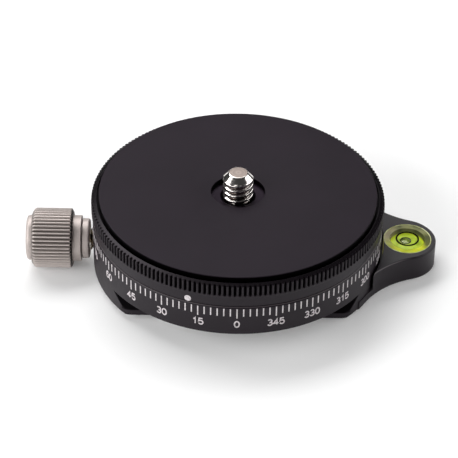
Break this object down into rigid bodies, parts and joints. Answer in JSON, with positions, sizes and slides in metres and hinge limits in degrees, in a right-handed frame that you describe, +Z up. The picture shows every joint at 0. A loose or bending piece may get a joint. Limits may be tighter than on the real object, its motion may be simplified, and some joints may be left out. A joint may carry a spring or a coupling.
{
  "type": "panoramic tripod head",
  "caption": "Knurled panoramic head that turns over a degree drum with a dovetail foot, a round level on a side arm, a lock knob and a camera screw.",
  "frame": {"origin": "mouth of the tripod thread, in the middle of the foot's underside", "axes": "+Z up along the turning axis, +X towards the level arm, -Y towards the scale's zero"},
  "size_m": [0.0847, 0.06, 0.0235],
  "materials": {
    "black_anodised": "fine matte black anodised",
    "pad_black": "matte black",
    "bright_steel": "polished, nickel plated",
    "titanium_grey": "satin warm grey anodised",
    "bronze": "turned",
    "plain_steel": "turned",
    "glide_plastic": "natural acetal",
    "clear_acrylic": "polished clear",
    "level_green": "yellow-green fluid",
    "level_lime": "lime backing",
    "bubble_clear": "air",
    "dot_white": "paint"
  },
  "bodies": {
    "base": {"base_body": "black_anodised", "bearing_bush": "bronze", "upper_glide_washer": "glide_plastic", "lower_glide_washer": "glide_plastic", "bottom_cover": "black_anodised", "tripod_thread_insert": "plain_steel", "lock_thread_bush": "bronze", "level_vial": "clear_acrylic", "level_backing": "level_lime", "level_fluid": "level_green", "level_bubble": "bubble_clear"},
    "platform": {"rotating_platform": "black_anodised", "top_pad": "pad_black", "camera_screw": "bright_steel", "index_dot": "dot_white", "retaining_plate": "plain_steel", "retaining_screws": "plain_steel"},
    "shoe": {"brake_shoe": "glide_plastic"},
    "knob": {"knob_grip": "titanium_grey", "knob_cap": "titanium_grey", "knob_collar": "titanium_grey", "lock_stud": "bright_steel"}
  },
  "joints": [
    {"name": "pan", "type": "hinge", "parent": "base", "child": "platform", "pos_m": [0, 0, 0.0106], "axis": [0, 0, 1], "continuous": true},
    {"name": "lock_feed", "type": "slide", "parent": "base", "child": "shoe", "axis": [1, 0, 0], "range_m": [-0.0012, 0.0002]},
    {"name": "lock_turn", "type": "hinge", "parent": "shoe", "child": "knob", "pos_m": [-0.038, 0, 0.00447], "axis": [1, 0, 0], "range_deg": [-541, 91]}
  ],
  "couplings": [
    {"joint": "lock_turn", "follows": "lock_feed", "rad_per_m": 7854}
  ]
}
